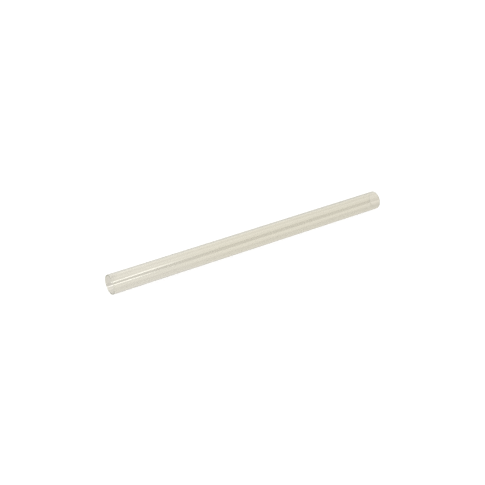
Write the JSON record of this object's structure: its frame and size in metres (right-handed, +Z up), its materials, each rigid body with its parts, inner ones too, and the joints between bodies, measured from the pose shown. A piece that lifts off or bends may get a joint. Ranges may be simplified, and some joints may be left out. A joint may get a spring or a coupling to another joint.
{
  "type": "condenser jacket tube",
  "caption": "Plain straight glass tube, open at both ends with rounded rims: the outer water jacket of a straight laboratory condenser, closed in use by stoppers.",
  "frame": {"origin": "on the surface that the tube lies on, below the middle of its length", "axes": "+X along the tube's axis, +Z up, +Y across the tube"},
  "size_m": [0.5, 0.03, 0.03],
  "materials": {
    "borosilicate_glass": "clear drawn glass with a faint straw tint, fine lengthwise draw lines and fire-polished rims"
  },
  "bodies": {
    "root": {"jacket_tube": "borosilicate_glass"}
  },
  "joints": []
}
